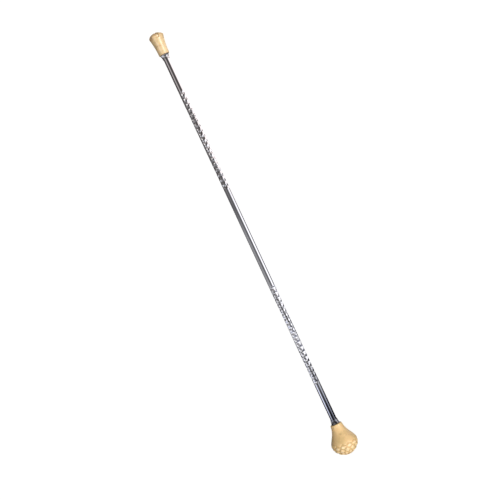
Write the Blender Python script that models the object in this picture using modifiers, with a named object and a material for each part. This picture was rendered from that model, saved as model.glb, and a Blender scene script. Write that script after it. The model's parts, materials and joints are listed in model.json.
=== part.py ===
"""Twirling baton: a chrome-plated steel tube with two dimpled grips, a rubber ball at one end and a rubber
tip at the other.

The baton lies along X with the ball at +X, and the origin is on the shaft's axis at mid-length. Each end is
modelled under its own empty, whose local Z runs outwards along the shaft, so a station is a distance from
the middle of the baton and a depth is a distance from the rubber's mouth. In each end of the tube a steel
plug holds a balance weight by a screw. The rubber ends push on over the tube, and a steel disc in each one
keeps the tube from cutting through.
"""

import math
from collections import namedtuple

import bpy
from mathutils import Matrix, Vector

MM = 0.001

# Driving dimensions
LENGTH = 686 * MM
SHAFT_RADIUS = 4.76 * MM  # 3/8 inch tube
SHAFT_WALL = 0.9 * MM
GAP = 0.3 * MM  # between pieces that touch

# Two grips pressed into the tube: rings of oval dimples, each ring turned a little from the last
GRIP_LENGTH = 160 * MM
GRIP_SPACING = 318.3 * MM
GRIP_MIDDLE = -9.7 * MM  # halfway between the two, on X
DIMPLE_PITCH = 8 * MM
DIMPLE_ROWS = 8
DIMPLE_DEPTH = 0.4 * MM
DIMPLE_REACH = 0.44  # of the spacing between dimples, both along a row and across it
ROW_LEAD = 93 * MM  # length over which the rows move round by one row's spacing
ROW_PHASE = -0.44  # where the rows stand at the start of a grip, in rows

# Rubber ball: a neck that swells into a dome with a tread of lugs
BALL_LENGTH = 48.4 * MM
BALL_RADIUS = 20.4 * MM
BALL_CENTRE = 31 * MM  # depth of its widest place
BALL_LAND = 4 * MM  # radius of the flat at the pole
BALL_NECK = ((0, 8.9), (15, 9.4), (22.5, 20.4), (31, 20.4))  # curve's control points in mm: depth, radius
DOME_POWER = 1.08  # 1 is an ellipse, and more is slightly pointed
LUG_COUNT = 12
LUG_RINGS = 3
LUG_SPACING = math.radians(20.5)  # from ring to ring
LUG_START = math.radians(80)  # from the pole to the middle of the first ring
LUG_ASPECT = 0.69  # spacing of the rings over the spacing of lugs in a ring
GROOVE_DEPTH = 0.8 * MM
GROOVE = 0.3  # share of a lug's width that slopes down into the groove beside it

# Rubber tip: a flared cup with scoops around its domed crown
TIP_LENGTH = 34.6 * MM
TIP_FLARE = ((0, 8.2), (15, 8.2), (21, 9.9), (29, 11.3))
TIP_CROWN = ((29, 11.3), (31.2, 11), (34, 6.8), (34.6, 3))
SCOOP_COUNT = 6
SCOOP_SIZE = (3 * MM, 3.2 * MM, 5.2 * MM)
SCOOP_DEPTH = 30 * MM
SCOOP_OFFSET = 11.3 * MM
SCOOP_LEAN = math.radians(40)
SCOOP_TURN = math.radians(9)

# Collar on the shaft at each mouth
COLLAR_LENGTH = 7 * MM
COLLAR_RADIUS = 7 * MM
COLLAR_LIP = 0.35 * MM

# Fittings inside each end
PLUG_HEAD = 2 * MM
PLUG_SHANK = 12 * MM
RECESS_RADIUS = 3.1 * MM
RECESS_DEPTH = 2.4 * MM
SCREW_RADIUS = 1.5 * MM
SCREW_HEAD_RADIUS = 2.7 * MM
SCREW_HEAD = 1.2 * MM
SCREW_ENTRY = 6 * MM  # how far it enters the weight
SCREW_SLOT = (0.7 * MM, 0.6 * MM)  # width and depth
WASHER_THICKNESS = 0.5 * MM
WASHER_SPLIT = 0.6 * MM
PIN_RADIUS = 0.8 * MM
PIN_LENGTH = 2.2 * MM
PIN_BELOW_HEAD = 5 * MM
PIN_TURN = math.radians(37)
WEIGHT_HOLE = 8 * MM
WEIGHT_CHAMFER = 0.4 * MM
DAMPER_THICKNESS = 3 * MM
DISC_RADIUS = 6.5 * MM
DISC_THICKNESS = 1.2 * MM
MOUTH_CHAMFER = 0.8 * MM

SHAFT_SEGMENTS = 4 * DIMPLE_ROWS
BALL_SEGMENTS = 6 * LUG_COUNT
TIP_SEGMENTS = 36
FITTING_SEGMENTS = 20
PIN_SEGMENTS = 10
CURVE_STEPS = 8
COLLAR_STEPS = 4
MERGE = 0.01 * MM
SMOOTH_ANGLE = math.radians(35)

# Worked out from the above
SHAFT_BORE = SHAFT_RADIUS - SHAFT_WALL
SOCKET_RADIUS = SHAFT_RADIUS + GAP
PLUG_RADIUS = SHAFT_BORE - GAP
SCREW_HOLE = SCREW_RADIUS + GAP
LAND_ANGLE = math.asin((BALL_LAND / BALL_RADIUS) ** (1 / DOME_POWER))
BALL_RISE = (BALL_LENGTH - BALL_CENTRE) / math.cos(LAND_ANGLE) ** DOME_POWER
BALL_MOUTH = LENGTH / 2 - BALL_LENGTH
TIP_MOUTH = LENGTH / 2 - TIP_LENGTH

# Each end's mouth station, how deep the shaft sits in the rubber, and the length of its balance weight
End = namedtuple("End", "name turn mouth seat weight")
BALL = End("ball", math.pi / 2, BALL_MOUTH, 30 * MM, 25 * MM)
TIP = End("tip", -math.pi / 2, TIP_MOUTH, 24 * MM, 60 * MM)

LOOKS = {  # colour, roughness, metallic
    "chrome": ((0.82, 0.82, 0.84), 0.08, 1.0),
    "rubber": ((0.80, 0.60, 0.34), 0.55, 0.0),
    "steel": ((0.56, 0.56, 0.57), 0.35, 1.0),
    "zinc": ((0.66, 0.67, 0.70), 0.30, 1.0),
    "felt": ((0.35, 0.33, 0.30), 0.95, 0.0),
}


def clear_scene():
    for obj in list(bpy.data.objects):
        bpy.data.objects.remove(obj)


def collection(name):
    made = bpy.data.collections.new(name)
    bpy.context.scene.collection.children.link(made)
    return made


def material(name):
    if name in bpy.data.materials:
        return bpy.data.materials[name]
    colour, roughness, metallic = LOOKS[name]
    made = bpy.data.materials.new(name)
    made.use_nodes = True
    made.diffuse_color = (*colour, 1)
    shader = made.node_tree.nodes["Principled BSDF"]
    shader.inputs["Base Color"].default_value = (*colour, 1)
    shader.inputs["Roughness"].default_value = roughness
    shader.inputs["Metallic"].default_value = metallic
    return made


class Bench:
    """Where one end's pieces are made: under that end's empty, with cutters kept apart from parts."""

    def __init__(self, end, parts, cutters):
        self.parts = parts
        self.cutters = cutters
        self.frame = bpy.data.objects.new(f"{end.name}_frame", None)
        self.frame.rotation_euler = (0, end.turn, 0)
        parts.objects.link(self.frame)

    def part(self, obj, name, look):
        self._move(obj, self.parts)
        obj.name = name
        obj.data.name = name
        obj.data.materials.append(material(look))
        return obj

    def cutter(self, obj, name):
        self._move(obj, self.cutters)
        obj.name = name
        obj.hide_render = True
        obj.display_type = "WIRE"
        return obj

    def _move(self, obj, group):
        for old in list(obj.users_collection):
            old.objects.unlink(obj)
        group.objects.link(obj)
        obj.parent = self.frame


def shade(obj):
    obj.data.shade_smooth()
    obj.data.set_sharp_from_angle(angle=SMOOTH_ANGLE)


def realise(obj):
    """Replaces the modifiers of obj with the mesh that they make."""
    bpy.context.view_layer.update()
    evaluated = obj.evaluated_get(bpy.context.evaluated_depsgraph_get())
    mesh = bpy.data.meshes.new_from_object(evaluated)
    obj.modifiers.clear()
    obj.data = mesh
    shade(obj)


def turned(bench, name, outline, look, segments=FITTING_SEGMENTS, ring=False):
    """A turned piece from (station, radius) points, outermost first and down its outer side. An outline that
    keeps off the axis is a ring, closed from its last point to its first."""
    points = [(radius, 0, station) for station, radius in outline]
    edges = [(i, i + 1) for i in range(len(points) - 1)]
    if ring:
        edges.append((len(points) - 1, 0))
    mesh = bpy.data.meshes.new(name)
    mesh.from_pydata(points, edges, [])
    obj = bench.part(bpy.data.objects.new(name, mesh), name, look)
    screw = obj.modifiers.new("turn", "SCREW")
    screw.axis = "Z"
    screw.steps = segments
    screw.render_steps = segments
    screw.use_merge_vertices = True
    screw.merge_threshold = MERGE
    realise(obj)
    return obj


def cylinder(radius, length, segments):
    bpy.ops.mesh.primitive_cylinder_add(vertices=segments, radius=radius, depth=length)
    return bpy.context.object


def block(size):
    bpy.ops.mesh.primitive_cube_add(size=1)
    obj = bpy.context.object
    obj.data.transform(Matrix.Diagonal((*size, 1)))
    return obj


def cut(obj, cutters):
    for cutter in cutters:
        boolean = obj.modifiers.new("cut", "BOOLEAN")
        boolean.operation = "DIFFERENCE"
        boolean.solver = "EXACT"
        boolean.object = cutter
    realise(obj)


def curve_points(controls):
    """(depth, radius) points along a cubic curve whose control points are in mm."""
    a, b, c, d = (Vector(point) * MM for point in controls)
    for i in range(CURVE_STEPS + 1):
        t = i / CURVE_STEPS
        yield (1 - t) ** 3 * a + 3 * t * (1 - t) ** 2 * b + 3 * t**2 * (1 - t) * c + t**3 * d


def dimple_depth(x, angle):
    """How deep the tube is pressed in at x and at an angle about X. The rows of dimples lean round it."""
    grip = GRIP_MIDDLE + math.copysign(GRIP_SPACING / 2, x - GRIP_MIDDLE)
    along = x - grip + GRIP_LENGTH / 2
    if not 0 < along < GRIP_LENGTH:
        return 0
    row = DIMPLE_ROWS * angle / math.tau + along / ROW_LEAD + ROW_PHASE
    across = row - round(row)
    between = along / DIMPLE_PITCH % 1 - 0.5
    return DIMPLE_DEPTH * max(0, 1 - (across**2 + between**2) / DIMPLE_REACH**2)


def shaft_tube(bench):
    """The tube, whose rings lie close together only where the grips are pressed in."""
    first = BALL.mouth + BALL.seat
    last = -TIP.mouth - TIP.seat
    rings = round(2 * GRIP_LENGTH / DIMPLE_PITCH)
    stations = [first]
    for side in (1, -1):
        top = GRIP_MIDDLE + side * GRIP_SPACING / 2 + GRIP_LENGTH / 2
        stations += [top - GRIP_LENGTH * i / rings for i in range(rings + 1)]
    stations.append(last)
    outline = [(station, SHAFT_RADIUS) for station in stations]
    outline += [(last, SHAFT_BORE), (first, SHAFT_BORE)]
    tube = turned(bench, "shaft_tube", outline, "chrome", SHAFT_SEGMENTS, ring=True)
    for vertex in tube.data.vertices:
        x, y, station = vertex.co
        if math.hypot(x, y) > SHAFT_BORE + MERGE:
            pressed = SHAFT_RADIUS - dimple_depth(station, math.atan2(y, x))
            vertex.co.xy *= pressed / SHAFT_RADIUS
    shade(tube)
    return tube


def socket_outline(end):
    """The inside of a rubber end: its mouth, the socket for the shaft and the wider pocket for the disc."""
    pocket = end.mouth + end.seat + PLUG_HEAD + GAP
    bottom = pocket + DISC_THICKNESS + 2 * GAP
    return [
        (end.mouth, SOCKET_RADIUS + MOUTH_CHAMFER),
        (end.mouth + MOUTH_CHAMFER, SOCKET_RADIUS),
        (pocket, SOCKET_RADIUS),
        (pocket, DISC_RADIUS + GAP),
        (bottom, DISC_RADIUS + GAP),
        (bottom, 0),
    ]


def groove_share(angle, polar):
    """1 in the middle of a groove and 0 on a lug or on plain skin. A lug is the area nearer to its own middle
    than to any other lug's, and the lugs of one ring lie between those of the next. The skin on either side
    of the tread slopes into its outermost grooves too."""
    down = (LUG_START - polar) / LUG_SPACING
    around = LUG_COUNT * angle / math.tau
    middles = []
    for ring in (math.floor(down), math.floor(down) + 1):
        column = around - (ring + 1) / 2
        across = abs(column - round(column))
        beside = LUG_ASPECT * (down - ring)
        on_tread = 0 <= ring < LUG_RINGS
        middles += [(math.hypot(across, beside), on_tread), (math.hypot(1 - across, beside), on_tread)]
    own, *others = sorted(middles)
    facing = [distance for distance, on_tread in others if on_tread or own[1]]
    if not facing:
        return 0
    return max(0, 1 - (facing[0] - own[0]) / GROOVE)


def ball_end(bench):
    centre = BALL.mouth + BALL_CENTRE
    step = LUG_SPACING / 5
    count = math.floor((math.pi / 2 - LAND_ANGLE) / step)
    outline = [(LENGTH / 2, 0), (LENGTH / 2, BALL_LAND)]
    for polar in (math.pi / 2 - i * step for i in range(count, 0, -1)):
        rise = BALL_RISE * math.cos(polar) ** DOME_POWER
        outline.append((centre + rise, BALL_RADIUS * math.sin(polar) ** DOME_POWER))
    outline += [(BALL.mouth + depth, radius) for depth, radius in reversed(list(curve_points(BALL_NECK)))]
    outline += socket_outline(BALL)
    ball = turned(bench, "ball_end", outline, "rubber", BALL_SEGMENTS)
    for vertex in ball.data.vertices:
        x, y, station = vertex.co
        height = max(0, (station - centre) / BALL_RISE) ** (1 / DOME_POWER)
        width = (math.hypot(x, y) / BALL_RADIUS) ** (1 / DOME_POWER)
        if station > centre - MERGE and math.hypot(height, width) > 0.99:
            groove = groove_share(math.atan2(y, x), math.atan2(width, height))
            outward = Vector((x, y, station - centre)).normalized()
            vertex.co -= outward * GROOVE_DEPTH * groove
    shade(ball)
    return ball


def tip_end(bench):
    outline = [(LENGTH / 2, 0)]
    outline += [(TIP.mouth + depth, radius) for depth, radius in reversed(list(curve_points(TIP_CROWN)))]
    outline += [(TIP.mouth + depth, radius) for depth, radius in reversed(list(curve_points(TIP_FLARE))[:-1])]
    outline += socket_outline(TIP)
    tip = turned(bench, "tip_end", outline, "rubber", TIP_SEGMENTS)
    scoops = []
    for i in range(SCOOP_COUNT):
        bpy.ops.mesh.primitive_uv_sphere_add(segments=12, ring_count=8, radius=1)
        scoop = bench.cutter(bpy.context.object, f"tip_scoop_{i}")
        around = Matrix.Rotation(SCOOP_TURN + math.tau * i / SCOOP_COUNT, 4, "Z")
        out = Matrix.Translation((SCOOP_OFFSET, 0, TIP.mouth + SCOOP_DEPTH))
        lean = Matrix.Rotation(-SCOOP_LEAN, 4, "Y")
        scoop.data.transform(around @ out @ lean @ Matrix.Diagonal((*SCOOP_SIZE, 1)))
        scoops.append(scoop)
    cut(tip, scoops)
    return tip


def collar(bench, end):
    top = end.mouth - GAP
    bottom = top - COLLAR_LENGTH
    flare = COLLAR_RADIUS - SOCKET_RADIUS - COLLAR_LIP
    outline = []
    for i in range(COLLAR_STEPS + 1):
        down = i / COLLAR_STEPS
        outline.append((top - COLLAR_LENGTH * down, SOCKET_RADIUS + COLLAR_LIP + flare * (1 - down) ** 2))
    outline += [(bottom, SOCKET_RADIUS), (top, SOCKET_RADIUS)]
    return turned(bench, f"{end.name}_collar", outline, "chrome", SHAFT_SEGMENTS, ring=True)


def plug(bench, end):
    under_head = end.mouth + end.seat + GAP
    top = under_head + PLUG_HEAD
    bottom = under_head - PLUG_SHANK
    recess = top - RECESS_DEPTH
    outline = [
        (top, SHAFT_RADIUS),
        (under_head, SHAFT_RADIUS),
        (under_head, PLUG_RADIUS),
        (bottom, PLUG_RADIUS),
        (bottom, SCREW_HOLE),
        (recess, SCREW_HOLE),
        (recess, RECESS_RADIUS),
        (top, RECESS_RADIUS),
    ]
    return turned(bench, f"{end.name}_shaft_plug", outline, "steel", ring=True)


def lock_washer(bench, end):
    bottom = end.mouth + end.seat + GAP + PLUG_HEAD - RECESS_DEPTH + GAP
    top = bottom + WASHER_THICKNESS
    outline = [
        (top, SCREW_HEAD_RADIUS),
        (bottom, SCREW_HEAD_RADIUS),
        (bottom, SCREW_HOLE),
        (top, SCREW_HOLE),
    ]
    washer = turned(bench, f"{end.name}_lock_washer", outline, "zinc", ring=True)
    split = bench.cutter(block((2 * SCREW_HEAD_RADIUS, WASHER_SPLIT, 1 * MM)), f"{end.name}_washer_split")
    split.location = (SCREW_HEAD_RADIUS + MERGE, 0, (top + bottom) / 2)
    cut(washer, [split])
    return washer


def weight_screw(bench, end):
    under_head = end.mouth + end.seat + PLUG_HEAD - RECESS_DEPTH + WASHER_THICKNESS + 3 * GAP
    top = under_head + SCREW_HEAD
    point = end.mouth + end.seat - PLUG_SHANK - SCREW_ENTRY
    outline = [
        (top, 0),
        (top, SCREW_HEAD_RADIUS),
        (under_head, SCREW_HEAD_RADIUS),
        (under_head, SCREW_RADIUS),
        (point, SCREW_RADIUS),
        (point, 0),
    ]
    screw = turned(bench, f"{end.name}_weight_screw", outline, "zinc")
    width, depth = SCREW_SLOT
    slot = bench.cutter(block((3 * SCREW_HEAD_RADIUS, width, 2 * depth)), f"{end.name}_screw_slot")
    slot.location = (0, 0, top)
    cut(screw, [slot])
    return screw


def balance_weight(bench, end):
    top = end.mouth + end.seat - PLUG_SHANK
    bottom = top - end.weight
    outline = [
        (top - WEIGHT_HOLE, 0),
        (top - WEIGHT_HOLE, SCREW_HOLE),
        (top, SCREW_HOLE),
        (top, PLUG_RADIUS - WEIGHT_CHAMFER),
        (top - WEIGHT_CHAMFER, PLUG_RADIUS),
        (bottom + WEIGHT_CHAMFER, PLUG_RADIUS),
        (bottom, PLUG_RADIUS - WEIGHT_CHAMFER),
        (bottom, 0),
    ]
    return turned(bench, f"{end.name}_balance_weight", outline, "steel")


def disc(bench, name, bottom, radius, thickness, look):
    """A plain round disc that lies across the shaft's axis."""
    outline = [(bottom + thickness, 0), (bottom + thickness, radius), (bottom, radius), (bottom, 0)]
    return turned(bench, name, outline, look)


def damper(bench, end):
    bottom = end.mouth + end.seat - PLUG_SHANK - end.weight - GAP - DAMPER_THICKNESS
    return disc(bench, f"{end.name}_weight_damper", bottom, PLUG_RADIUS, DAMPER_THICKNESS, "felt")


def socket_disc(bench, end):
    bottom = end.mouth + end.seat + PLUG_HEAD + 2 * GAP
    return disc(bench, f"{end.name}_socket_disc", bottom, DISC_RADIUS, DISC_THICKNESS, "steel")


def plug_pin(bench, end, drilled):
    """A short pin through the tube's wall and into the plug, and the hole for it in both of them."""
    middle = Matrix.Translation((SHAFT_RADIUS - PIN_LENGTH / 2, 0, end.mouth + end.seat - PIN_BELOW_HEAD))
    turn = Matrix.Rotation(PIN_TURN, 4, "Z") @ middle @ Matrix.Rotation(math.pi / 2, 4, "Y")
    pin = bench.part(cylinder(PIN_RADIUS, PIN_LENGTH, PIN_SEGMENTS), f"{end.name}_plug_pin", "zinc")
    pin.data.transform(turn)
    shade(pin)
    hole = cylinder(PIN_RADIUS + GAP, PIN_LENGTH + 2 * GAP, PIN_SEGMENTS)
    drill = bench.cutter(hole, f"{end.name}_pin_drill")
    drill.data.transform(turn)
    for obj in drilled:
        cut(obj, [drill])
    return pin


def build():
    clear_scene()
    parts = collection("twirling_baton")
    cutters = collection("cutters")
    ball_bench = Bench(BALL, parts, cutters)
    tip_bench = Bench(TIP, parts, cutters)
    tube = shaft_tube(ball_bench)
    ball_end(ball_bench)
    tip_end(tip_bench)
    for bench, end in ((ball_bench, BALL), (tip_bench, TIP)):
        collar(bench, end)
        closing_plug = plug(bench, end)
        lock_washer(bench, end)
        weight_screw(bench, end)
        balance_weight(bench, end)
        damper(bench, end)
        socket_disc(bench, end)
        plug_pin(bench, end, (tube, closing_plug))


build()
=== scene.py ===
"""Looks of the twirling baton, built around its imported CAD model.

The baton lies along X with the ball at +X. Each piece made here is turned about X from an outline of
(station, radius) points. A station is a distance from the middle of the baton, towards the ball or, for the
tip's pieces, towards the tip. A depth is a distance from the rubber's mouth. The chrome mirrors a light tent
that only reflections see, and the lamps light only the rubber.
"""

import json
import math

import bmesh
import bpy
import numpy as np
from mathutils import Matrix, Vector


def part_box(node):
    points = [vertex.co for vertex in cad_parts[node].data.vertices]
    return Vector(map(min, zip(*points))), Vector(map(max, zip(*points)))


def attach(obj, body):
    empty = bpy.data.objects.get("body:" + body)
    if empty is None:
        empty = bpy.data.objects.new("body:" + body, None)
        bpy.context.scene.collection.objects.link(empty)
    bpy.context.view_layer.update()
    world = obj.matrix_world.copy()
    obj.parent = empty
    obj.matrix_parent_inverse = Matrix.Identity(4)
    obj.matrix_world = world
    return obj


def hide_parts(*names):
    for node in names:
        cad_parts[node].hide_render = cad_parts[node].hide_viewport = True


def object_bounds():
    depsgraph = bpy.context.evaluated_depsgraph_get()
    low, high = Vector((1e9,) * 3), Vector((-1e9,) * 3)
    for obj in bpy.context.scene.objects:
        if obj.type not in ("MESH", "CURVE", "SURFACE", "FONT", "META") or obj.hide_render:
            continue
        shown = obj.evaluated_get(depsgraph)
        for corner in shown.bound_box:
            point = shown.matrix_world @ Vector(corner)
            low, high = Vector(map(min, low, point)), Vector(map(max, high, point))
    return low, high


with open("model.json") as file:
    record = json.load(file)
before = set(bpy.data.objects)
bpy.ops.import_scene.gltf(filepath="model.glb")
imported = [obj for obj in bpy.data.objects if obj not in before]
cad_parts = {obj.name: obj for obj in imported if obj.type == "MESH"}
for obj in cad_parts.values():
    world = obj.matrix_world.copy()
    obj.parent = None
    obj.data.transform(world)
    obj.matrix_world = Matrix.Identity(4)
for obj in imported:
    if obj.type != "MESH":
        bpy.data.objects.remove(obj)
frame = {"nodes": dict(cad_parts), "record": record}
CAD_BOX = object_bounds()
BALL_LOW, BALL_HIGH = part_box("ball_end")
TIP_LOW, TIP_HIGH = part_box("tip_end")
TUBE_LOW, TUBE_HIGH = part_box("shaft_tube")

MM = 0.001
TAU = math.tau

# Sizes that the fine meshes share with the CAD
SHAFT_RADIUS = (TUBE_HIGH.z - TUBE_LOW.z) / 2
SHAFT_WALL = 0.9 * MM
GAP = 0.3 * MM  # between pieces that touch
GRIP_LENGTH = 160 * MM
GRIP_SPACING = 318.3 * MM
GRIP_MIDDLE = -9.7 * MM  # halfway between the two grips, on X
DIMPLE_PITCH = 8 * MM
DIMPLE_ROWS = 8
ROW_LEAD = 93 * MM  # length over which the rows move round by one row's spacing
ROW_PHASE = -0.44  # where the rows stand at the start of a grip, in rows
BALL_RADIUS = 20.4 * MM
BALL_CENTRE = 31 * MM  # depth of its widest place
BALL_LAND = 4 * MM  # radius of the flat at the pole
BALL_NECK = ((0, 8.9), (15, 9.4), (22.5, 20.4), (31, 20.4))  # curve's control points in mm: depth, radius
BALL_SEAT = 30 * MM  # how deep the shaft sits in it
DOME_POWER = 1.08  # 1 is an ellipse, and more is slightly pointed
LUG_COUNT = 12
LUG_RINGS = 3
LUG_SPACING = math.radians(20.5)  # from ring to ring
LUG_START = math.radians(80)  # from the pole to the middle of the first ring
LUG_ASPECT = 0.69  # spacing of the rings over the spacing of lugs in a ring
TIP_FLARE = ((0, 8.2), (15, 8.2), (21, 9.9), (29, 11.3))
TIP_CROWN = ((29, 11.3), (31.2, 11), (34, 6.8), (34.6, 3))
TIP_SEAT = 24 * MM
SCOOP_COUNT = 6
SCOOP_TURN = math.radians(9)
COLLAR_LENGTH = 7 * MM
COLLAR_LIP = 0.35 * MM
PLUG_HEAD = 2 * MM
DISC_RADIUS = 6.5 * MM
DISC_THICKNESS = 1.2 * MM

# Worked out from the above
SHAFT_BORE = SHAFT_RADIUS - SHAFT_WALL
SOCKET_RADIUS = SHAFT_RADIUS + GAP
LAND_ANGLE = math.asin((BALL_LAND / BALL_RADIUS) ** (1 / DOME_POWER))
BALL_RISE = (BALL_HIGH.x - BALL_LOW.x - BALL_CENTRE) / math.cos(LAND_ANGLE) ** DOME_POWER
BALL_MOUTH = BALL_LOW.x
TIP_MOUTH = -TIP_HIGH.x

# The rest is detail that only the fine meshes have. Dimples:
DIMPLE_REACH = 0.42  # half a dimple's size, in spacings between dimples
DIMPLE_DEPTH = 0.42 * MM
DIMPLE_POWER = 0.9  # 1 makes the dish a parabola
RIM_HEIGHT = 0.10  # of the raised rim round a dimple, in dimple depths
RIM_PLACE = 1.1  # in dimple reaches, as is its width
RIM_WIDTH = 0.16
GRIP_FADE = 0.5 * MM  # length over which the dimples start at a grip's end

# Tread. Distances are in spacings of the lugs round a ring, and heights in groove depths
GROOVE_DEPTH = 1.0 * MM
GROOVE_FLOOR = 0.02  # a groove's slope starts at this distance from its middle
LUG_EDGE = 0.5  # and ends at this one on a lug
SKIN_EDGE = 0.3  # or at this one where the tread ends
SIDE_DEPTH = 0.75  # of the grooves between the lugs of one ring
SIDE_DIRT_AND_SHADE = 0.25  # share of the dirt and painted shade in them
# width of the band of dirt and painted shade along a groove
DIRT_AND_SHADE_WIDTH = 0.18
CROWN_SLOPE = (0.1, 0.7)  # distances from a lug's edge between which its pillow swells
CROWN_HEIGHT = 0.12
ABSENT = 9.0  # distance to a lug that isn't there
DOME_SKIN = 0.99  # share of the dome's size above which a point is on its skin
TREAD_FOOT = 0.9  # share of the ball's radius down to which the tread may pass its widest place

# Scoops
SCOOP_START = 28.4 * MM  # depth
SCOOP_END = 33.4 * MM
SCOOP_HALF_WIDTH = 3.2 * MM
SCOOP_RADIUS = 10.5 * MM  # where the tip has this radius, a scoop has its full width
SCOOP_SLOPE = 1.1 * MM  # width of its wall
SCOOP_RELIEF = 1.4 * MM
SCOOP_LIP = (0.12 * MM, 0.5 * MM)  # height and width
# Width of the band of painted shade on a scoop's wall, how strongly the wall is painted darker, and how
# strongly the floor is painted lighter
SCOOP_WALL_WIDTH = 0.55 * MM
WALL_PAINTED_SHADE = 1.6
BOWL_PAINTED_LIGHT = 0.4
CROWN_RADIUS = 7.5 * MM  # what is wider or deeper in than these is the tip's outer skin
CROWN_DEPTH = 28.5 * MM
POLE_FADE = (1.5 * MM, 3.75 * MM)  # radii between which the scoops end

# Rims, edges and mesh steps
TUBE_BEVEL = 0.3 * MM
BORE_BEVEL = 0.2 * MM
LIP_RISE = 1.2 * MM  # of the rubber's rolled edge
LIP_POWER = 0.7
LAND_EDGE = 0.94  # where the ball's flat ends, as a share of its radius
COLLAR_RIM = 6.9 * MM  # radius
COLLAR_ROUND = 0.3 * MM
COLLAR_SHARE = 0.06  # share of its length that is rim
GRIP_STEP = 0.75 * MM
PLAIN_STEP = 4 * MM
LIP_STEPS = 12
BALL_STEPS = 110
TIP_STEPS = 60
RIM_STEPS = 4
COLLAR_STEPS = 40
METAL_SEGMENTS = 96
RUBBER_SEGMENTS = 288
WELD = 0.001 * MM  # points nearer than this are joined
TINY = 1e-12  # keeps a step of no length from a division by zero
SHARP_ANGLE = math.radians(50)


# Mesh tools

def smooth(value, low, high):
    """0 below low, 1 above high, and an S curve between them."""
    t = np.clip((value - low) / (high - low), 0, 1)
    return t * t * (3 - 2 * t)


def ridge(value, width):
    """1 where value is 0, falling off like a bell on both sides."""
    return np.exp(-((value / width) ** 2))


def curve_points(controls, steps):
    """(depth, radius) points along a cubic curve whose control points are in mm."""
    a, b, c, d = (Vector(point) * MM for point in controls)
    for i in range(steps + 1):
        t = i / steps
        yield tuple((1 - t) ** 3 * a + 3 * t * (1 - t) ** 2 * b + 3 * t**2 * (1 - t) * c + t**3 * d)


def ring_faces(rows, around):
    """Quads between closed rings of points that are numbered ring by ring."""
    start = np.arange(rows - 1)[:, None] * around
    corner = start + np.arange(around)
    beside = start + (np.arange(around) + 1) % around
    return np.stack([corner, beside, beside + around, corner + around], 2).reshape(-1, 4)


def added(name, data):
    """A new object in the scene, with a mesh, light or camera as its data."""
    obj = bpy.data.objects.new(name, data)
    bpy.context.scene.collection.objects.link(obj)
    return obj


def weld(mesh):
    """Joins the points that lie on each other, and shades the mesh smooth between its sharp edges."""
    work = bmesh.new()
    work.from_mesh(mesh)
    bmesh.ops.remove_doubles(work, verts=work.verts, dist=WELD)
    bmesh.ops.recalc_face_normals(work, faces=work.faces)
    work.to_mesh(mesh)
    work.free()
    mesh.shade_smooth()
    mesh.set_sharp_from_angle(angle=SHARP_ANGLE)


def turned(name, outline, segments, relief=None, out=1):
    """A piece turned about X from (station, radius) points, which run from the highest station back along the
    outside. out is the X direction in which stations grow. relief(station, angle, radius) gives each point's
    height above the outline, along its normal, and a mark for the material: above 0 it is darker, as dirt in
    the tube's dimples and as dirt and painted shade on the rubber; below 0 it is paler, as painted light and
    rubbed wear on the rubber."""
    station, radius = np.array(outline).T
    slope_s, slope_r = np.gradient(station), np.gradient(radius)
    size = np.hypot(slope_s, slope_r) + TINY
    normal_s, normal_r = slope_r / size, -slope_s / size
    angle = np.arange(segments) * TAU / segments
    grid_s, grid_a = np.meshgrid(station, angle, indexing="ij")
    grid_r = np.repeat(radius[:, None], segments, 1)
    height = np.zeros_like(grid_s)
    mark = np.zeros_like(grid_s)
    if relief:
        height, mark = relief(grid_s, grid_a, grid_r)
    grid_s = grid_s + height * normal_s[:, None]
    grid_r = grid_r + height * normal_r[:, None] * (radius > 0)[:, None]
    points = np.stack([out * grid_s, grid_r * np.sin(grid_a), grid_r * np.cos(grid_a)], 2)
    faces = ring_faces(len(outline), segments)
    if out < 0:
        faces = faces[:, ::-1]
    mesh = bpy.data.meshes.new(name)
    mesh.from_pydata(points.reshape(-1, 3).tolist(), [], faces.tolist())
    dirt_wear_and_painted_light = mesh.attributes.new("dirt_wear_and_painted_light", "FLOAT", "POINT")
    dirt_wear_and_painted_light.data.foreach_set("value", mark.reshape(-1).astype(np.float32))
    weld(mesh)
    return added(name, mesh)


# Relief

def dimples(x, angle, radius):
    """Rings of oval dishes in the tube's grips, each ring turned a little from the last."""
    grip = GRIP_MIDDLE + np.copysign(GRIP_SPACING / 2, x - GRIP_MIDDLE)
    along = x - grip + GRIP_LENGTH / 2
    row = DIMPLE_ROWS * (math.pi - angle) / TAU + along / ROW_LEAD + ROW_PHASE
    across = row - np.round(row)
    between = along / DIMPLE_PITCH % 1 - 0.5
    reach = np.hypot(across, between) / DIMPLE_REACH
    dish = np.clip(1 - reach**2, 0, 1) ** DIMPLE_POWER - RIM_HEIGHT * ridge(reach - RIM_PLACE, RIM_WIDTH)
    dish = dish * smooth(along, 0, GRIP_FADE) * smooth(GRIP_LENGTH - along, 0, GRIP_FADE)
    return -DIMPLE_DEPTH * dish, np.clip(dish, 0, 1)


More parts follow.
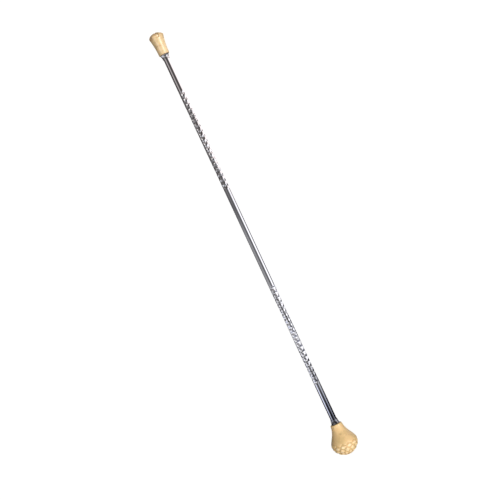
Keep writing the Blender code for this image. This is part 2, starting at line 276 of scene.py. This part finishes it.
def tread(station, angle, radius):
    """Rings of pillow-shaped lugs over the ball's dome. A lug is the area nearer to its own middle than to
    any other lug's, and the lugs of one ring lie between those of the next."""
    centre = BALL_MOUTH + BALL_CENTRE
    height = np.clip((station - centre) / BALL_RISE, 0, None) ** (1 / DOME_POWER)
    width = (radius / BALL_RADIUS) ** (1 / DOME_POWER)
    below = math.pi / 2 + (centre - station) / BALL_RADIUS
    polar = np.where(station > centre, np.arctan2(width, height), below)
    inward = (LUG_START - polar) / LUG_SPACING  # rings from the first one towards the pole
    around = LUG_COUNT * angle / TAU
    sides = []
    for ring in (np.floor(inward), np.floor(inward) + 1):
        column = around - (ring + 1) / 2
        across = abs(column - np.round(column))
        along = LUG_ASPECT * (inward - ring)
        is_lug = (ring >= 0) & (ring < LUG_RINGS)
        sides.append((np.hypot(across, along), np.hypot(1 - across, along), is_lug))
    (first, first_beside, first_is_lug), (second, second_beside, second_is_lug) = sides
    nearest = np.minimum(first, second)
    on_lug = np.where(first < second, first_is_lug, second_is_lug)
    first_lug, second_lug = np.where(first_is_lug, first, ABSENT), np.where(second_is_lug, second, ABSENT)
    to_ring = np.where(on_lug, np.maximum(first, second), np.minimum(first_lug, second_lug)) - nearest
    beside = np.where(first < second, first_beside, second_beside)
    to_neighbour = np.where(on_lug, beside - nearest, ABSENT)
    on_dome = np.hypot(height, width) > DOME_SKIN
    below_dome = (station < centre) & (radius > TREAD_FOOT * BALL_RADIUS)
    ring_groove = 1 - smooth(to_ring, GROOVE_FLOOR, np.where(on_lug, LUG_EDGE, SKIN_EDGE))
    side_groove = SIDE_DEPTH * (1 - smooth(to_neighbour, GROOVE_FLOOR, LUG_EDGE))
    groove = np.maximum(ring_groove, side_groove)
    crown = np.where(on_lug, smooth(np.minimum(to_ring, to_neighbour), *CROWN_SLOPE), 0)
    # Dirt and painted shade along the grooves; the lugs' crowns are marked paler, as rubbed wear and painted
    # highlight
    dirt_and_painted_shade = np.maximum(ridge(to_ring, DIRT_AND_SHADE_WIDTH), SIDE_DIRT_AND_SHADE * ridge(to_neighbour, DIRT_AND_SHADE_WIDTH))
    skin = on_dome | below_dome
    return -GROOVE_DEPTH * (groove - CROWN_HEIGHT * crown) * skin, (dirt_and_painted_shade - crown) * skin


def scoops(station, angle, radius):
    """U-shaped scoops round the tip's crown. Each is round at its end towards the mouth, and narrows towards
    the pole."""
    depth = station - TIP_MOUTH
    spacing = TAU / SCOOP_COUNT
    turn = (angle - SCOOP_TURN + spacing / 2) % spacing - spacing / 2
    beyond = np.maximum(np.maximum(SCOOP_START - depth, depth - SCOOP_END), 0)
    inside = SCOOP_HALF_WIDTH - np.hypot(SCOOP_RADIUS * turn, beyond)
    skin = ((radius > CROWN_RADIUS) | (depth > CROWN_DEPTH)) * smooth(radius, *POLE_FADE)
    bowl = smooth(inside, 0, SCOOP_SLOPE)
    lip_height, lip_width = SCOOP_LIP
    height = lip_height * ridge(inside, lip_width) - SCOOP_RELIEF * bowl
    # Painted shade on the scoop's wall, and painted light on its floor
    mark = WALL_PAINTED_SHADE * ridge(inside - SCOOP_SLOPE / 2, SCOOP_WALL_WIDTH) - BOWL_PAINTED_LIGHT * bowl
    return height * skin, mark * skin


# Outlines

def shaft_outline():
    """From the ball's end to the tip's: close rings along each grip, and wider ones along the plain tube."""
    first, last = TUBE_HIGH.x, TUBE_LOW.x
    edges = [first - TUBE_BEVEL]
    for side in (1, -1):
        middle = GRIP_MIDDLE + side * GRIP_SPACING / 2
        edges += [middle + GRIP_LENGTH / 2 + GRIP_STEP, middle - GRIP_LENGTH / 2 - GRIP_STEP]
    edges.append(last + TUBE_BEVEL)
    stations = [edges[0]]
    for start, end, step in zip(edges, edges[1:], (PLAIN_STEP, GRIP_STEP) * 2 + (PLAIN_STEP,)):
        count = round((start - end) / step)
        stations += [start + (end - start) * i / count for i in range(1, count + 1)]
    outline = [(first, SHAFT_BORE + BORE_BEVEL), (first, SHAFT_RADIUS - TUBE_BEVEL)]
    outline += [(station, SHAFT_RADIUS) for station in stations]
    outline += [(last, SHAFT_RADIUS - TUBE_BEVEL), (last, SHAFT_BORE + BORE_BEVEL)]
    outline += [(last + BORE_BEVEL, SHAFT_BORE), (first - BORE_BEVEL, SHAFT_BORE), outline[0]]
    return outline


def skin_points(mouth, controls, steps):
    """The rubber's outer skin along a curve, down to its rolled edge."""
    points = [(mouth + depth, radius) for depth, radius in reversed(list(curve_points(controls, steps)))]
    return [point for point in points if point[0] > mouth + LIP_RISE]


def mouth_lip(mouth, outer):
    """The rubber's rolled edge, from its outer skin round into the socket."""
    middle = (outer + SOCKET_RADIUS) / 2
    half = (outer - SOCKET_RADIUS) / 2
    for i in range(LIP_STEPS + 1):
        angle = math.pi * i / LIP_STEPS
        yield (mouth + LIP_RISE * (1 - math.sin(angle) ** LIP_POWER), middle + half * math.cos(angle))


def socket_outline(mouth, seat):
    """The hole that the shaft sits in, with the pocket for the steel disc at its bottom."""
    pocket = mouth + seat + PLUG_HEAD + GAP
    bottom = pocket + DISC_THICKNESS + 2 * GAP
    side = DISC_RADIUS + GAP
    hole = [(mouth + LIP_RISE, SOCKET_RADIUS), (pocket, SOCKET_RADIUS)]
    return hole + [(pocket, side), (bottom, side), (bottom, 0)]


def ball_outline():
    """From the flat at the pole over the dome and down the neck, then into the socket."""
    outline = [(BALL_HIGH.x, radius) for radius in (0, BALL_LAND / 2, LAND_EDGE * BALL_LAND)]
    for i in range(1, BALL_STEPS):
        polar = LAND_ANGLE + (math.pi / 2 - LAND_ANGLE) * i / BALL_STEPS
        rise = BALL_RISE * math.cos(polar) ** DOME_POWER
        outline.append((BALL_MOUTH + BALL_CENTRE + rise, BALL_RADIUS * math.sin(polar) ** DOME_POWER))
    outline += skin_points(BALL_MOUTH, BALL_NECK, BALL_STEPS)
    outline += mouth_lip(BALL_MOUTH, BALL_NECK[0][1] * MM)
    return outline + socket_outline(BALL_MOUTH, BALL_SEAT)


def tip_outline():
    """From the pole over the crown and down the flare, then into the socket."""
    outline = [(TIP_MOUTH + TIP_CROWN[-1][0] * MM, 0)]
    outline += skin_points(TIP_MOUTH, TIP_CROWN, TIP_STEPS)
    outline += skin_points(TIP_MOUTH, TIP_FLARE, TIP_STEPS)[1:]
    outline += mouth_lip(TIP_MOUTH, TIP_FLARE[0][1] * MM)
    return outline + socket_outline(TIP_MOUTH, TIP_SEAT)


def collar_outline(mouth):
    """A thin trumpet that opens towards the rubber, with a rounded rim."""
    top = mouth - GAP
    foot = SOCKET_RADIUS + COLLAR_LIP
    outline = [(top, SOCKET_RADIUS), (top, COLLAR_RIM - COLLAR_LIP)]
    for i in range(1, RIM_STEPS + 1):
        turn = math.pi / 2 * i / RIM_STEPS
        down, inward = COLLAR_ROUND * (1 - math.cos(turn)), COLLAR_ROUND * (1 - math.sin(turn))
        outline.append((top - down, COLLAR_RIM - inward))
    for down in np.linspace(COLLAR_SHARE, 1, COLLAR_STEPS):
        outline.append((top - COLLAR_LENGTH * down, foot + (COLLAR_RIM - foot) * (1 - down) ** 2))
    outline += [(top - COLLAR_LENGTH, SOCKET_RADIUS), outline[0]]
    return outline


# Materials

class Look:
    """A procedural material: a principled shader, and the textures in object space that feed it."""

    def __init__(self, name, color, roughness, metallic=0.0, **values):
        self.material = bpy.data.materials.new(name)
        self.material.use_nodes = True
        self.tree = self.material.node_tree
        self.shader = self.tree.nodes["Principled BSDF"]
        self.place = self.tree.nodes.new("ShaderNodeTexCoord").outputs["Object"]
        self.color = self.solid(color)
        self.roughness = roughness
        self.height = None
        self.shader.inputs["Metallic"].default_value = metallic
        for socket, value in values.items():
            self.shader.inputs[socket.replace("_", " ")].default_value = value

    def node(self, kind, output=0, settings=(), **inputs):
        """Adds a shader node and gives one of its outputs. Its inputs go by name, or as _0, _1 by number."""
        made = self.tree.nodes.new("ShaderNode" + kind)
        for key, value in dict(settings).items():
            setattr(made, key, value)
        for key, value in inputs.items():
            socket = made.inputs[int(key[1:]) if key[1:].isdigit() else key.replace("_", " ")]
            if isinstance(value, bpy.types.NodeSocket):
                self.tree.links.new(value, socket)
            else:
                socket.default_value = value
        return made.outputs[output]

    def solid(self, color):
        made = self.tree.nodes.new("ShaderNodeRGB")
        made.outputs[0].default_value = (*color, 1)
        return made.outputs[0]

    def noise(self, size, stretch=(1, 1, 1), detail=3.0, rough=0.5, twist=0.0):
        """Noise from 0 to 1 whose features are about size metres, and longer along an axis that stretch gives
        more than 1."""
        place = self.node("Mapping", Vector=self.place, Scale=tuple(1 / s for s in stretch))
        values = {"Detail": detail, "Roughness": rough, "Distortion": twist}
        return self.node("TexNoise", Vector=place, Scale=1 / size, **values)

    def cells(self, size):
        """Distance to the middle of the nearest cell, in cells, where a cell is about size metres."""
        return self.node("TexVoronoi", Vector=self.place, Scale=1 / size)

    def band(self, value, low, high, to_low=0.0, to_high=1.0):
        """value from low to high, remapped smoothly and clamped."""
        made = self.tree.nodes.new("ShaderNodeMapRange")
        made.interpolation_type = "SMOOTHSTEP"
        self.tree.links.new(value, made.inputs[0])
        for i, number in enumerate((low, high, to_low, to_high)):
            made.inputs[i + 1].default_value = number
        return made.outputs[0]

    def dirt_wear_and_painted_light(self, low, high):
        """The mesh's mark of dirt, wear, painted shade and painted light, from low to high."""
        return self.band(self.node("Attribute", 2, {"attribute_name": "dirt_wear_and_painted_light"}), low, high)

    def math(self, kind, a, b):
        return self.node("Math", 0, {"operation": kind}, _0=a, _1=b)

    def tint(self, amount, color, strength=1.0):
        """Lays a second colour over the material where amount is above 0."""
        if strength < 1:
            amount = self.math("MULTIPLY", amount, strength)
        made = self.tree.nodes.new("ShaderNodeMix")
        made.data_type = "RGBA"
        self.tree.links.new(amount, made.inputs[0])
        self.tree.links.new(self.color, made.inputs[6])
        made.inputs[7].default_value = (*color, 1)
        self.color = made.outputs[2]

    def rise(self, value, height):
        """Adds fine relief: value times height, in metres."""
        step = self.math("MULTIPLY", value, height)
        self.height = self.math("ADD", self.height, step) if self.height else step

    def rough(self, value, amount):
        """Adds value times amount to the roughness."""
        step = self.math("MULTIPLY", value, amount)
        self.roughness = self.math("ADD", step, self.roughness)

    def done(self):
        links = self.tree.links
        links.new(self.color, self.shader.inputs["Base Color"])
        if isinstance(self.roughness, bpy.types.NodeSocket):
            links.new(self.roughness, self.shader.inputs["Roughness"])
        else:
            self.shader.inputs["Roughness"].default_value = self.roughness
        if self.height:
            bump = self.node("Bump", Height=self.height, Strength=1.0, Distance=1.0)
            links.new(bump, self.shader.inputs["Normal"])
        return self.material


def chrome_look():
    """Bright plating with a patchy haze, hairlines along the tube, a few pits and dirt in the dimples."""
    look = Look("polished_chrome", (0.80, 0.80, 0.81), 0.05, metallic=1.0)
    haze = look.band(look.noise(18 * MM, detail=4, rough=0.6), 0.45, 0.72)
    hairlines = look.band(look.noise(0.35 * MM, stretch=(26, 1, 1), detail=2), 0.66, 0.74)
    turned_lines = look.noise(0.12 * MM, stretch=(1, 60, 60), detail=2)
    pits = look.band(look.cells(1.6 * MM), 0.09, 0.05)
    dirt = look.dirt_wear_and_painted_light(0.55, 1.0)
    look.tint(haze, (0.66, 0.64, 0.63), 0.25)
    look.tint(pits, (0.20, 0.16, 0.13), 0.55)
    look.tint(dirt, (0.40, 0.36, 0.33), 0.10)
    look.rough(haze, 0.05)
    look.rough(hairlines, 0.12)
    look.rough(pits, 0.35)
    look.rise(hairlines, -0.0006 * MM)
    look.rise(turned_lines, 0.0003 * MM)
    look.rise(pits, -0.006 * MM)
    look.rise(look.noise(9 * MM, detail=1), 0.004 * MM)
    return look.done()


def collar_look(name, color, deep):
    """Duller plating with turned rings and patches of a deeper colour."""
    look = Look(name, color, 0.12, metallic=1.0)
    haze = look.band(look.noise(5 * MM, detail=4, rough=0.65), 0.4, 0.7)
    rings = look.noise(0.15 * MM, stretch=(1, 60, 60), detail=3)
    look.tint(haze, deep)
    look.rough(haze, 0.12)
    look.rise(rings, 0.0015 * MM)
    return look.done()


def rubber_look(name, color, deep, cloudy, pale, stains=()):
    """Aged gum rubber: clouded, smudged and specked. It is darker with dirt and painted shade in its grooves
    and with painted shade on its scoops' walls, and paler with rubbed wear and painted highlight on its lugs
    and with painted light on its scoops' floors. A stain is a place, a size, a strength and a colour."""
    look = Look(
        name, color, 0.46, Subsurface_Weight=0.12, Subsurface_Radius=(1.0, 0.55, 0.25),
        Subsurface_Scale=2.5 * MM, Coat_Weight=0.4, Coat_Roughness=0.26,
    )
    cloud = look.band(look.noise(11 * MM, detail=4, rough=0.6), 0.35, 0.7)
    speck = look.band(look.noise(0.9 * MM, detail=3, rough=0.7), 0.60, 0.74)
    smudge = look.band(look.noise(4 * MM, stretch=(1, 2, 2), detail=5, rough=0.65, twist=0.6), 0.52, 0.72)
    bloom = look.band(look.noise(2.2 * MM, detail=4, rough=0.7), 0.5, 0.8)
    dirt_and_painted_shade = look.dirt_wear_and_painted_light(0.15, 0.95)
    rubbed_and_painted_light = look.dirt_wear_and_painted_light(-0.05, -0.8)
    look.tint(cloud, cloudy, 0.8)
    look.tint(smudge, deep, 0.34)
    look.tint(speck, deep, 0.22)
    for centre, size, strength, stain_color in stains:
        near = look.node("VectorMath", 1, {"operation": "DISTANCE"}, _0=look.place, _1=centre)
        ragged = look.math("ADD", near, look.math("MULTIPLY", smudge, -0.35 * size))
        look.tint(look.band(ragged, size, 0.2 * size, 0, strength), stain_color)
    # Paler where the mark is below 0: rubbed wear and painted highlight on the lugs, painted light on the
    # scoops' floors
    look.tint(rubbed_and_painted_light, pale, 0.7)
    # Darker where it is above 0: dirt and painted shade in the grooves, painted shade on the scoops' walls
    look.tint(dirt_and_painted_shade, deep, 0.30)
    look.rough(cloud, 0.08)
    look.rough(dirt_and_painted_shade, 0.2)
    look.rough(bloom, 0.1)
    look.rise(look.noise(0.45 * MM, detail=4, rough=0.6), 0.028 * MM)
    look.rise(look.noise(3.2 * MM, detail=2), 0.10 * MM)
    look.rise(speck, -0.02 * MM)
    return look.done()


def steel_look(name, color, roughness):
    """Bare steel with fine machining marks and darker blotches."""
    look = Look(name, color, roughness, metallic=1.0)
    marks = look.noise(0.1 * MM, stretch=(40, 1, 1), detail=3)
    blotch = look.band(look.noise(2.5 * MM, detail=4, rough=0.6), 0.45, 0.7)
    look.tint(blotch, tuple(0.6 * c for c in color), 0.5)
    look.rough(blotch, 0.12)
    look.rise(marks, 0.004 * MM)
    return look.done()


def zinc_look():
    """Yellow-passivated zinc with a pinkish bloom and small blue-grey grains."""
    look = Look("passivated_zinc", (0.62, 0.60, 0.50), 0.32, metallic=1.0)
    bloom = look.band(look.noise(1.2 * MM, detail=4, rough=0.6), 0.4, 0.7)
    grains = look.band(look.cells(0.5 * MM), 0.2, 0.05)
    look.tint(bloom, (0.66, 0.52, 0.40))
    look.tint(grains, (0.45, 0.50, 0.52))
    look.rough(bloom, 0.12)
    look.rise(look.noise(0.2 * MM, detail=3), 0.005 * MM)
    return look.done()


def felt_look():
    """Grey felt with tangled, paler fibres."""
    look = Look("grey_felt", (0.20, 0.19, 0.18), 0.95, Sheen_Weight=0.5, Sheen_Roughness=0.6)
    fibres = look.noise(0.25 * MM, stretch=(1, 3, 5), detail=5, rough=0.75, twist=1.5)
    look.tint(look.band(fibres, 0.45, 0.7), (0.36, 0.34, 0.32))
    look.rise(fibres, 0.12 * MM)
    return look.done()


def dressed(obj, material):
    """Gives an object one material, in place of any it has."""
    obj.data.materials.clear()
    obj.data.materials.append(material)


TIP_STAINS = (
    (Vector((TIP_LOW.x + 5 * MM, -9 * MM, 6 * MM)), 9 * MM, 0.4, (0.46, 0.19, 0.08)),
    (Vector((TIP_LOW.x + 20 * MM, -9 * MM, 3 * MM)), 7 * MM, 0.35, (0.44, 0.27, 0.12)),
)
CHROME = chrome_look()
# The ball's collar is a much darker copy of the tip collar's chrome: painted shade
SHADED_BALL_COLLAR = collar_look("shaded_collar_chrome", (0.26, 0.26, 0.28), deep=(0.16, 0.15, 0.15))
TIP_COLLAR = collar_look("worn_collar_chrome", (0.72, 0.70, 0.69), deep=(0.48, 0.45, 0.43))
BALL_RUBBER = rubber_look(
    "ball_gum_rubber", (0.74, 0.50, 0.235),
    deep=(0.26, 0.15, 0.05), cloudy=(0.58, 0.40, 0.17), pale=(0.88, 0.69, 0.42),
)
TIP_RUBBER = rubber_look(
    "tip_gum_rubber", (0.80, 0.58, 0.31),
    deep=(0.30, 0.17, 0.08), cloudy=(0.66, 0.46, 0.23), pale=(0.88, 0.68, 0.42), stains=TIP_STAINS,
)
LOOKS = {  # by the record's material slot
    "plug_steel": steel_look("turned_plug_steel", (0.56, 0.55, 0.54), 0.28),
    "weight_steel": steel_look("raw_weight_steel", (0.36, 0.35, 0.34), 0.42),
    "zinc_fastener": zinc_look(),
    "felt": felt_look(),
    "ball_rubber": BALL_RUBBER,
    "tip_rubber": TIP_RUBBER,
    "shaft_chrome": CHROME,
    "collar_chrome": SHADED_BALL_COLLAR,
}


# The pieces

def placed(obj, material, body, node):
    """Gives a piece its finish, sets it on its body, and hides the CAD node that it stands for."""
    dressed(obj, material)
    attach(obj, body)
    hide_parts(node)


placed(
    turned("chromed_shaft", shaft_outline(), METAL_SEGMENTS, dimples),
    CHROME, body="shaft", node="shaft_tube",
)
placed(
    turned("rubber_ball", ball_outline(), RUBBER_SEGMENTS, tread),
    BALL_RUBBER, body="ball", node="ball_end",
)
placed(
    turned("rubber_tip", tip_outline(), RUBBER_SEGMENTS, scoops, out=-1),
    TIP_RUBBER, body="tip", node="tip_end",
)
placed(
    turned("ball_trumpet", collar_outline(BALL_MOUTH), METAL_SEGMENTS),
    SHADED_BALL_COLLAR, body="shaft", node="ball_collar",
)
placed(
    turned("tip_trumpet", collar_outline(TIP_MOUTH), METAL_SEGMENTS, out=-1),
    TIP_COLLAR, body="shaft", node="tip_collar",
)
NODE_SLOTS = {entry["node"]: entry["material_slot"] for entry in frame["record"]["subparts"]}
for node_name, node in frame["nodes"].items():
    dressed(node, LOOKS[NODE_SLOTS[node_name]])


# The stage: a floor that touches the ball and the tip, and a backdrop

PALE = (0.90, 0.90, 0.90)
FLOOR_GLOW = 0.92  # enough to hide the shadows
FLOOR_REACH = 6.0
FLOOR_GAP = 0.05 * MM
FLOOR_CORNERS = [(x * FLOOR_REACH, y * FLOOR_REACH) for x, y in ((-1, -1), (1, -1), (1, 1), (-1, 1))]
BALL_TOUCH = 28 * MM  # depths at which the ball and the tip touch the floor
TIP_TOUCH = 29 * MM
BALL_REST = Vector((BALL_LOW.x + BALL_TOUCH, 0, BALL_LOW.z))
TIP_REST = Vector((TIP_HIGH.x - TIP_TOUCH, 0, TIP_LOW.z))
FLOOR_SLOPE = (TIP_REST.z - BALL_REST.z) / (TIP_REST.x - BALL_REST.x)
BACKDROP_GLOW = 1.02
BACKDROP_RADIUS = 12.0
BACKDROP_SEGMENTS = (48, 24)


def plain(name, glow):
    """A dull pale material that glows."""
    material = bpy.data.materials.new(name)
    material.use_nodes = True
    shader = material.node_tree.nodes["Principled BSDF"]
    shader.inputs["Base Color"].default_value = (*PALE, 1)
    shader.inputs["Roughness"].default_value = 0.8
    shader.inputs["Specular IOR Level"].default_value = 0.1
    shader.inputs["Emission Color"].default_value = (*PALE, 1)
    shader.inputs["Emission Strength"].default_value = glow
    return material


def staged(name, mesh, material, unseen_by):
    """Adds a mesh that isn't part of the baton, and hides it from the kinds of ray in unseen_by."""
    obj = added(name, mesh)
    dressed(obj, material)
    for ray in unseen_by:
        setattr(obj, "visible_" + ray, False)


def floor_mesh():
    mesh = bpy.data.meshes.new("floor")
    height = BALL_REST.z - FLOOR_SLOPE * BALL_REST.x - FLOOR_GAP
    mesh.from_pydata([(x, y, height + FLOOR_SLOPE * x) for x, y in FLOOR_CORNERS], [], [(0, 1, 2, 3)])
    return mesh


def backdrop_mesh():
    mesh = bpy.data.meshes.new("backdrop")
    around, up = BACKDROP_SEGMENTS
    shell = bmesh.new()
    bmesh.ops.create_uvsphere(shell, u_segments=around, v_segments=up, radius=BACKDROP_RADIUS)
    shell.to_mesh(mesh)
    shell.free()
    return mesh


staged("floor", floor_mesh(), plain("pale_floor", FLOOR_GLOW), unseen_by=("glossy", "diffuse"))
staged(
    "backdrop", backdrop_mesh(), plain("pale_backdrop", BACKDROP_GLOW),
    unseen_by=("glossy", "diffuse", "shadow"),
)


# The light tent, which only reflections see. Seen from above, a place on the tube mirrors the tent at about
# 2.6 times its X, so the tent has a zone of its own for each stretch of the tube.

TENT_RADIUS = 2.6
TENT_REACH = 3.2
TENT_STEPS = (64, 180)

# Where along X each zone fades in, in metres
BALL_ZONE = (0.40, 0.64)
TIP_ZONE = (0.1, 0.5)  # towards -X
WINDOW_ZONE = (0.95, 1.25)  # both ways, for views from the side, as is the next
FAR_ZONE = (1.5, 1.8)
MIDDLE_RISES = ((-0.12, -0.04), (0.15, 0.3))  # where the middle's sheen gets stronger
DIM_ZONE = ((0.66, 0.74), (0.85, 1.0))  # where the light fades out and in again, mirrored beside the ball

# Stripes along the tent: strength, middle, half width and soft edge, in degrees from straight up towards +Y
TIP_SHEEN = (0.45, -44, 10, 14)
TIP_HIGHLIGHT = (1.25, 102, 42, 14)
TIP_EDGE = (0.6, 170, 24, 12)
MIDDLE_SHEEN = (1, -66, 34, 14)
MIDDLE_HIGHLIGHT = (1.3, 58, 22, 12)
MIDDLE_EDGE = (0.9, 170, 24, 12)
BALL_SHEEN = (1.05, -66, 12, 12)
BALL_HIGHLIGHT = (0.42, 46, 10, 12)
WINDOW_STRIPE = (1.5, -50, 38, 20)
FAR_HIGHLIGHT = (1, 52, 13, 12)
FAR_SHEEN = (0.6, -62, 12, 16)
FAR_EDGE = (0.4, 180, 30, 24)

# How bright the tent is between its stripes, and its colours
TIP_VEIL = 0.09
MIDDLE_VEIL = (0.14, 0.27)  # the second is what it gains at the second of the middle's rises
MIDDLE_GAINS = (0.20, 0.60)  # what its sheen gains at each of them
BALL_VEIL = 0.02
FAR_VEIL = 0.13
DIM = 0.78  # share of the light that is lost in the dim zone
TIP_TINT = (1.05, 0.96, 0.96)
MIDDLE_TINT = (0.98, 0.98, 1.04)
BALL_TINT = (0.90, 0.95, 1.20)


def stripe(angle, strength, middle, half, edge):
    """Its full strength within half degrees of the middle, falling off softly over edge degrees past that."""
    return strength * (1 - smooth(abs(angle - middle), half, half + edge))


def tip_glow(angle, window):
    """The stripes mirrored near the tip. Here and in the middle, the highlight gives way to the window."""
    highlight = (1 - window) * stripe(angle, *TIP_HIGHLIGHT)
    return TIP_VEIL + stripe(angle, *TIP_SHEEN) + highlight + stripe(angle, *TIP_EDGE)


def middle_glow(x, angle, window):
    first, second = (smooth(x, *rise) for rise in MIDDLE_RISES)
    veil = MIDDLE_VEIL[0] + MIDDLE_VEIL[1] * second
    sheen = (MIDDLE_GAINS[0] * first + MIDDLE_GAINS[1] * second) * stripe(angle, *MIDDLE_SHEEN)
    highlight = (1 - window) * stripe(angle, *MIDDLE_HIGHLIGHT)
    return veil + sheen + highlight + stripe(angle, *MIDDLE_EDGE)


def ball_glow(x, angle):
    start, end = DIM_ZONE
    light = 1 - DIM * smooth(x, *start) * (1 - smooth(x, *end))
    return light * (BALL_VEIL + stripe(angle, *BALL_SHEEN) + stripe(angle, *BALL_HIGHLIGHT))


def far_glow(angle):
    edges = stripe(abs(angle), *FAR_EDGE)
    return FAR_VEIL + stripe(angle, *FAR_HIGHLIGHT) + stripe(angle, *FAR_SHEEN) + edges


def tent_glow(x, angle):
    """Colour of the tent's inside at x and an angle in degrees from straight up towards +Y."""
    by_ball = smooth(x, *BALL_ZONE)
    by_tip = smooth(-x, *TIP_ZONE)
    far = smooth(abs(x), *FAR_ZONE)
    window = smooth(abs(x), *WINDOW_ZONE) * (1 - far)
    shades = (
        (by_tip * tip_glow(angle, window), TIP_TINT),
        ((1 - by_ball - by_tip) * middle_glow(x, angle, window), MIDDLE_TINT),
        (by_ball * ball_glow(x, angle), BALL_TINT),
    )
    near = sum(glow[..., None] * np.array(tint) for glow, tint in shades)
    near = np.maximum(near, (window * stripe(angle, *WINDOW_STRIPE))[..., None])
    return near + (far_glow(angle)[..., None] - near) * far[..., None]


def tent_mesh():
    """An open cylinder round the baton, whose points carry the colour of its inside."""
    rings, around = TENT_STEPS
    along = np.linspace(-TENT_REACH, TENT_REACH, rings)
    degrees = np.linspace(-180, 180, around, endpoint=False)
    x, angle = np.meshgrid(along, degrees, indexing="ij")
    turn = np.radians(angle)
    points = np.stack([x, TENT_RADIUS * np.sin(turn), TENT_RADIUS * np.cos(turn)], 2)
    mesh = bpy.data.meshes.new("light_tent")
    mesh.from_pydata(points.reshape(-1, 3).tolist(), [], ring_faces(rings, around).tolist())
    glow = mesh.attributes.new("glow", "FLOAT_VECTOR", "POINT")
    glow.data.foreach_set("vector", tent_glow(x, angle).reshape(-1).astype(np.float32))
    return mesh


def tent_cloth():
    material = bpy.data.materials.new("tent_cloth")
    material.use_nodes = True
    tree = material.node_tree
    tree.nodes.clear()
    glow = tree.nodes.new("ShaderNodeAttribute")
    glow.attribute_name = "glow"
    light = tree.nodes.new("ShaderNodeEmission")
    end = tree.nodes.new("ShaderNodeOutputMaterial")
    tree.links.new(glow.outputs["Vector"], light.inputs["Color"])
    tree.links.new(light.outputs[0], end.inputs[0])
    return material


staged(
    "light_tent", tent_mesh(), tent_cloth(),
    unseen_by=("camera", "diffuse", "shadow", "transmission", "volume_scatter"),
)


# The lamps and the room's own light

WORLD_GLOW = 0.27


def lamp(name, piece, location, size, power):
    """A soft lamp that lights one rubber piece and aims at that end of the baton."""
    data = bpy.data.lights.new(name, "AREA")
    data.shape = "RECTANGLE"
    data.size, data.size_y = size
    data.energy = power
    obj = added(name, data)
    obj.location = location
    target = Vector((math.copysign(CAD_BOX[1][0], location[0]), 0, 0))
    obj.rotation_euler = (Vector(location) - target).to_track_quat("Z", "Y").to_euler()
    obj.visible_camera = False
    obj.light_linking.receiver_collection = bpy.data.collections.new(name + "_lights")
    obj.light_linking.receiver_collection.objects.link(bpy.data.objects[piece])


lamp("ball_top", "rubber_ball", (0.60, -0.05, 1.20), size=(0.6, 0.5), power=9.2)
lamp("ball_key", "rubber_ball", (0.42, 0.80, 1.05), size=(0.5, 0.35), power=10.5)
lamp("ball_fill", "rubber_ball", (0.30, -0.85, 0.95), size=(0.4, 0.2), power=1.5)
lamp("tip_key", "rubber_tip", (-0.25, 0.85, 1.05), size=(0.5, 0.35), power=16.5)
lamp("tip_fill", "rubber_tip", (-0.30, -0.70, 1.05), size=(0.4, 0.3), power=4)

world = bpy.data.worlds.new("studio")
world.use_nodes = True
sky = world.node_tree.nodes["Background"]
sky.inputs["Color"].default_value = (1.0, 1.0, 1.0, 1)
sky.inputs["Strength"].default_value = WORLD_GLOW
bpy.context.scene.world = world
bpy.context.scene.view_settings.view_transform = "Standard"


# The camera looks straight down, with the baton leaning to the left of the picture's upright

LEAN = math.radians(24.9)
CAMERA_HEIGHT = 1.65
VIEW_WIDTH = 0.7413
AIM_RIGHT = -3.03 * MM
AIM_UP = -9.74 * MM
SENSOR = 36.0
CLIP_END = 50

picture_right = Vector((math.sin(LEAN), math.cos(LEAN), 0))
picture_up = Vector((-math.cos(LEAN), math.sin(LEAN), 0))
camera_data = bpy.data.cameras.new("camera")
camera_data.sensor_width = SENSOR
camera_data.lens = SENSOR * CAMERA_HEIGHT / VIEW_WIDTH
camera_data.clip_end = CLIP_END
camera = added("camera", camera_data)
turn = Matrix((picture_right, picture_up, Vector((0, 0, 1)))).transposed().to_4x4()
aim = AIM_RIGHT * picture_right + AIM_UP * picture_up
camera.matrix_world = Matrix.Translation(aim + Vector((0, 0, CAMERA_HEIGHT))) @ turn
bpy.context.scene.camera = camera
